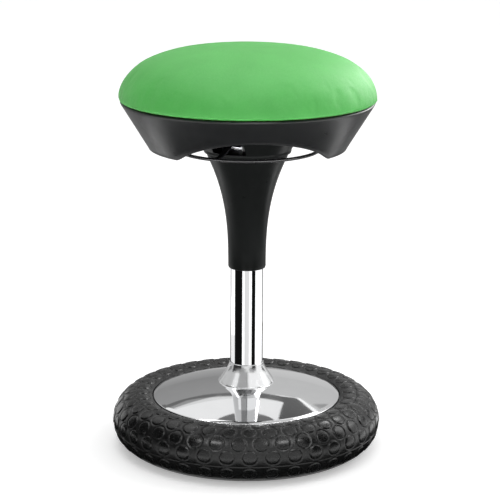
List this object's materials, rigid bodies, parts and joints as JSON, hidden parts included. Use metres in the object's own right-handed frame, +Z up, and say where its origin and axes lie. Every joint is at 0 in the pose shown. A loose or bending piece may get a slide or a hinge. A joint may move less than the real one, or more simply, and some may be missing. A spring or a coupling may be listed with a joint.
{
  "type": "active sitting stool",
  "caption": "Round padded stool seat that tilts and swivels on a height-adjustable gas column, let down by a ring under the seat, on a polished metal dish inside a rubber tyre.",
  "frame": {"origin": "centre of the tyre's footprint on the floor", "axes": "+Z up along the column, -Y towards the stool's front (one of the two hand arches), +X to the right seen from the back"},
  "size_m": [0.4134, 0.4132, 0.614],
  "materials": {
    "tyre_rubber": "satin",
    "polished_aluminium": "polished",
    "zinc_steel": "satin",
    "fastener_steel": "satin",
    "chrome": "mirror",
    "white_plastic": "matte",
    "bearing_steel": "polished",
    "soft_rubber": "matte",
    "black_paint": "gloss",
    "black_plastic": "satin",
    "cast_alloy": "satin",
    "plywood": "raw",
    "seat_foam": "matte",
    "green_fabric": "matte"
  },
  "bodies": {
    "base": {"tyre": "tyre_rubber", "base_plate": "polished_aluminium", "under_disc": "zinc_steel", "base_screws": "fastener_steel", "column_tube": "chrome", "guide_bush": "white_plastic", "bearing_lower_race": "bearing_steel"},
    "swivel": {"piston_rod": "bearing_steel", "bearing_balls": "bearing_steel", "bearing_upper_race": "bearing_steel", "bump_stop": "soft_rubber", "rod_clip": "fastener_steel"},
    "lift": {"pressure_cylinder": "black_paint", "column_cover": "black_plastic", "taper_hub": "cast_alloy", "tilt_pins_x": "fastener_steel"},
    "button": {"valve_button": "bearing_steel"},
    "gimbal": {"gimbal_ring": "zinc_steel", "tilt_bushes_x": "soft_rubber", "tilt_bushes_y": "soft_rubber"},
    "seat": {"mech_plate": "black_paint", "tilt_pins_y": "fastener_steel", "mech_cover": "black_plastic", "cover_screws": "fastener_steel", "seat_shell": "black_plastic", "seat_board": "plywood", "seat_foam": "seat_foam", "seat_cover": "green_fabric", "staples": "fastener_steel", "tee_nuts": "zinc_steel", "seat_screws": "fastener_steel", "release_pin": "fastener_steel"},
    "release": {"release_ring": "black_paint", "release_lever": "black_paint"}
  },
  "joints": [
    {"name": "seat_swivel", "type": "hinge", "parent": "base", "child": "swivel", "pos_m": [0, 0, 0.05], "axis": [0, 0, 1], "continuous": true},
    {"name": "seat_height", "type": "slide", "parent": "swivel", "child": "lift", "axis": [0, 0, 1], "range_m": [-0.13, 0]},
    {"name": "button_press", "type": "slide", "parent": "lift", "child": "button", "axis": [0, 0, -1], "range_m": [0, 0.0014], "stiffness_N_per_m": 3000},
    {"name": "tilt_front_back", "type": "hinge", "parent": "lift", "child": "gimbal", "pos_m": [0, 0, 0.462], "axis": [1, 0, 0], "range_deg": [-6, 6], "stiffness_Nm_per_rad": 150},
    {"name": "tilt_side", "type": "hinge", "parent": "gimbal", "child": "seat", "pos_m": [0, 0, 0.462], "axis": [0, 1, 0], "range_deg": [-6, 6], "stiffness_Nm_per_rad": 150},
    {"name": "release_lift", "type": "hinge", "parent": "seat", "child": "release", "pos_m": [-0.0125, -0.02165, 0.48], "axis": [-0.866, 0.5, 0], "range_deg": [0, 3], "stiffness_Nm_per_rad": 12, "springref_deg": -0.57}
  ],
  "couplings": [
    {"joint": "button_press", "follows": "release_lift", "m_per_rad": 0.025}
  ]
}
